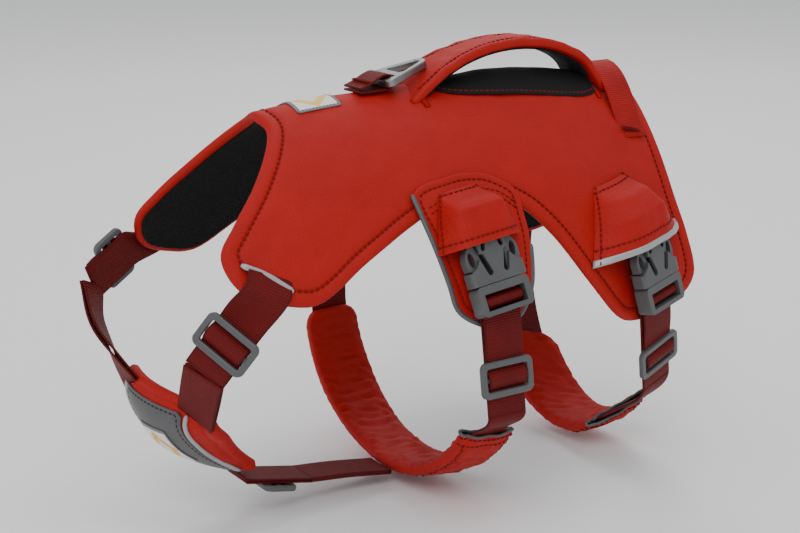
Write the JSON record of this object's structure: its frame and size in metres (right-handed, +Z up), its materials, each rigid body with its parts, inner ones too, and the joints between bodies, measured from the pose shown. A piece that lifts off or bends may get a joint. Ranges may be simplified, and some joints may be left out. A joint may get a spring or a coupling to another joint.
{
  "type": "no pull dog harness",
  "caption": "Padded no pull dog harness with saddle, handle, leash ring, girth loops, side release buckles, sliders and a chest pad.",
  "frame": {"origin": "middle of the front girth loop, on the axis of the trunk that the harness is worn on", "axes": "+X towards the dog's tail, +Z up; the dog's left side, with the buckles, is at -Y"},
  "size_m": [0.343, 0.2019, 0.2551],
  "materials": {
    "red_cloth": "woven",
    "dark_red_webbing": "ribbed webbing",
    "charcoal_lining": "mesh",
    "reflective_charcoal": "satin",
    "reflective_grey": "satin",
    "foam": "closed cell foam",
    "label": "woven label",
    "grey_plastic": "satin",
    "forged_metal": "satin"
  },
  "bodies": {
    "harness": {"chest_girth_strap": "dark_red_webbing", "chest_label": "label", "chest_pad": "red_cloth", "chest_panel": "reflective_charcoal", "chest_piping": "reflective_grey", "chest_strap": "dark_red_webbing", "front_buckle_receiver": "grey_plastic", "front_buckle_tab": "dark_red_webbing", "front_girth_sleeve": "red_cloth", "front_girth_webbing": "dark_red_webbing", "front_pocket": "red_cloth", "front_strap_tail": "dark_red_webbing", "handle_bartacks": "red_cloth", "handle_cover": "red_cloth", "handle_lining": "charcoal_lining", "handle_recess": "charcoal_lining", "handle_webbing": "dark_red_webbing", "label_patch": "label", "left_neck_loop": "dark_red_webbing", "left_neck_strap": "dark_red_webbing", "mid_flap": "red_cloth", "mid_flap_piping": "reflective_grey", "neck_trims": "reflective_grey", "rear_buckle_receiver": "grey_plastic", "rear_buckle_tab": "dark_red_webbing", "rear_girth_sleeve": "red_cloth", "rear_girth_webbing": "dark_red_webbing", "rear_pocket": "red_cloth", "rear_pocket_trim": "reflective_grey", "rear_strap_tail": "dark_red_webbing", "right_neck_loop": "dark_red_webbing", "right_neck_strap": "dark_red_webbing", "ring_loop": "dark_red_webbing", "saddle_binding": "red_cloth", "saddle_foam": "foam", "saddle_lining": "charcoal_lining", "saddle_shell": "red_cloth", "spine_loop": "dark_red_webbing"},
    "front_insert": {"front_buckle_insert": "grey_plastic", "front_buckle_webbing": "dark_red_webbing", "front_strap": "dark_red_webbing"},
    "front_prong_fore": {"front_prong_fore": "grey_plastic"},
    "front_prong_aft": {"front_prong_aft": "grey_plastic"},
    "front_slider": {"front_slider": "grey_plastic", "front_slider_webbing": "dark_red_webbing"},
    "rear_insert": {"rear_buckle_insert": "grey_plastic", "rear_buckle_webbing": "dark_red_webbing", "rear_strap": "dark_red_webbing"},
    "rear_prong_fore": {"rear_prong_fore": "grey_plastic"},
    "rear_prong_aft": {"rear_prong_aft": "grey_plastic"},
    "rear_slider": {"rear_slider": "grey_plastic", "rear_slider_webbing": "dark_red_webbing"},
    "left_neck_slider": {"left_neck_slider": "grey_plastic", "left_neck_slider_webbing": "dark_red_webbing"},
    "right_neck_slider": {"right_neck_slider": "grey_plastic", "right_neck_slider_webbing": "dark_red_webbing"},
    "chest_slider": {"chest_slider": "grey_plastic", "chest_slider_webbing": "dark_red_webbing"},
    "leash_ring": {"leash_ring": "forged_metal"}
  },
  "joints": [
    {"name": "front_buckle_release", "type": "slide", "parent": "harness", "child": "front_insert", "axis": [0.1218, -0.3442, -0.9309], "range_m": [0, 0.024], "deforming": ["front_prong_fore", "front_prong_aft", "front_strap_tail"]},
    {"name": "front_prong_fore_squeeze", "type": "hinge", "parent": "front_insert", "child": "front_prong_fore", "pos_m": [-0.01796, -0.09409, 0.01661], "axis": [0.0208, 0.9386, -0.3443], "range_deg": [0, 10.5], "stiffness_Nm_per_rad": 0.08},
    {"name": "front_prong_aft_squeeze", "type": "hinge", "parent": "front_insert", "child": "front_prong_aft", "pos_m": [0.0005, -0.09367, 0.01887], "axis": [-0.0208, -0.9386, 0.3443], "range_deg": [0, 10.5], "stiffness_Nm_per_rad": 0.08},
    {"name": "front_girth_adjust", "type": "slide", "parent": "front_insert", "child": "front_slider", "axis": [-0.0254, 0.112, 0.9934], "range_m": [-0.008, 0.008]},
    {"name": "rear_buckle_release", "type": "slide", "parent": "harness", "child": "rear_insert", "axis": [0.2025, -0.1508, -0.9676], "range_m": [0, 0.024], "deforming": ["rear_prong_fore", "rear_prong_aft", "rear_strap_tail"]},
    {"name": "rear_prong_fore_squeeze", "type": "hinge", "parent": "rear_insert", "child": "rear_prong_fore", "pos_m": [0.10359, -0.08667, -0.00259], "axis": [-0.2268, 0.954, -0.1961], "range_deg": [0, 10.5], "stiffness_Nm_per_rad": 0.08},
    {"name": "rear_prong_aft_squeeze", "type": "hinge", "parent": "rear_insert", "child": "rear_prong_aft", "pos_m": [0.1213, -0.08185, 0.00036], "axis": [0.2268, -0.954, 0.1961], "range_deg": [0, 10.5], "stiffness_Nm_per_rad": 0.08},
    {"name": "rear_girth_adjust", "type": "slide", "parent": "rear_insert", "child": "rear_slider", "axis": [-0.2853, -0.2467, 0.9261], "range_m": [-0.008, 0.008]},
    {"name": "left_neck_adjust", "type": "slide", "parent": "harness", "child": "left_neck_slider", "axis": [0.5164, -0.3074, 0.7992], "range_m": [-0.008, 0.006]},
    {"name": "right_neck_adjust", "type": "slide", "parent": "harness", "child": "right_neck_slider", "axis": [0.8496, 0.2124, 0.4827], "range_m": [-0.008, 0.003]},
    {"name": "chest_adjust", "type": "slide", "parent": "harness", "child": "chest_slider", "axis": [0.9815, 0, -0.1915], "range_m": [-0.008, 0.008]},
    {"name": "leash_ring_swing", "type": "hinge", "parent": "harness", "child": "leash_ring", "pos_m": [-0.026, 0, 0.1182], "axis": [0, -1, 0], "range_deg": [0, 105]}
  ],
  "couplings": [
    {"joint": "front_prong_aft_squeeze", "follows": "front_prong_fore_squeeze", "ratio": 1},
    {"joint": "rear_prong_aft_squeeze", "follows": "rear_prong_fore_squeeze", "ratio": 1}
  ]
}
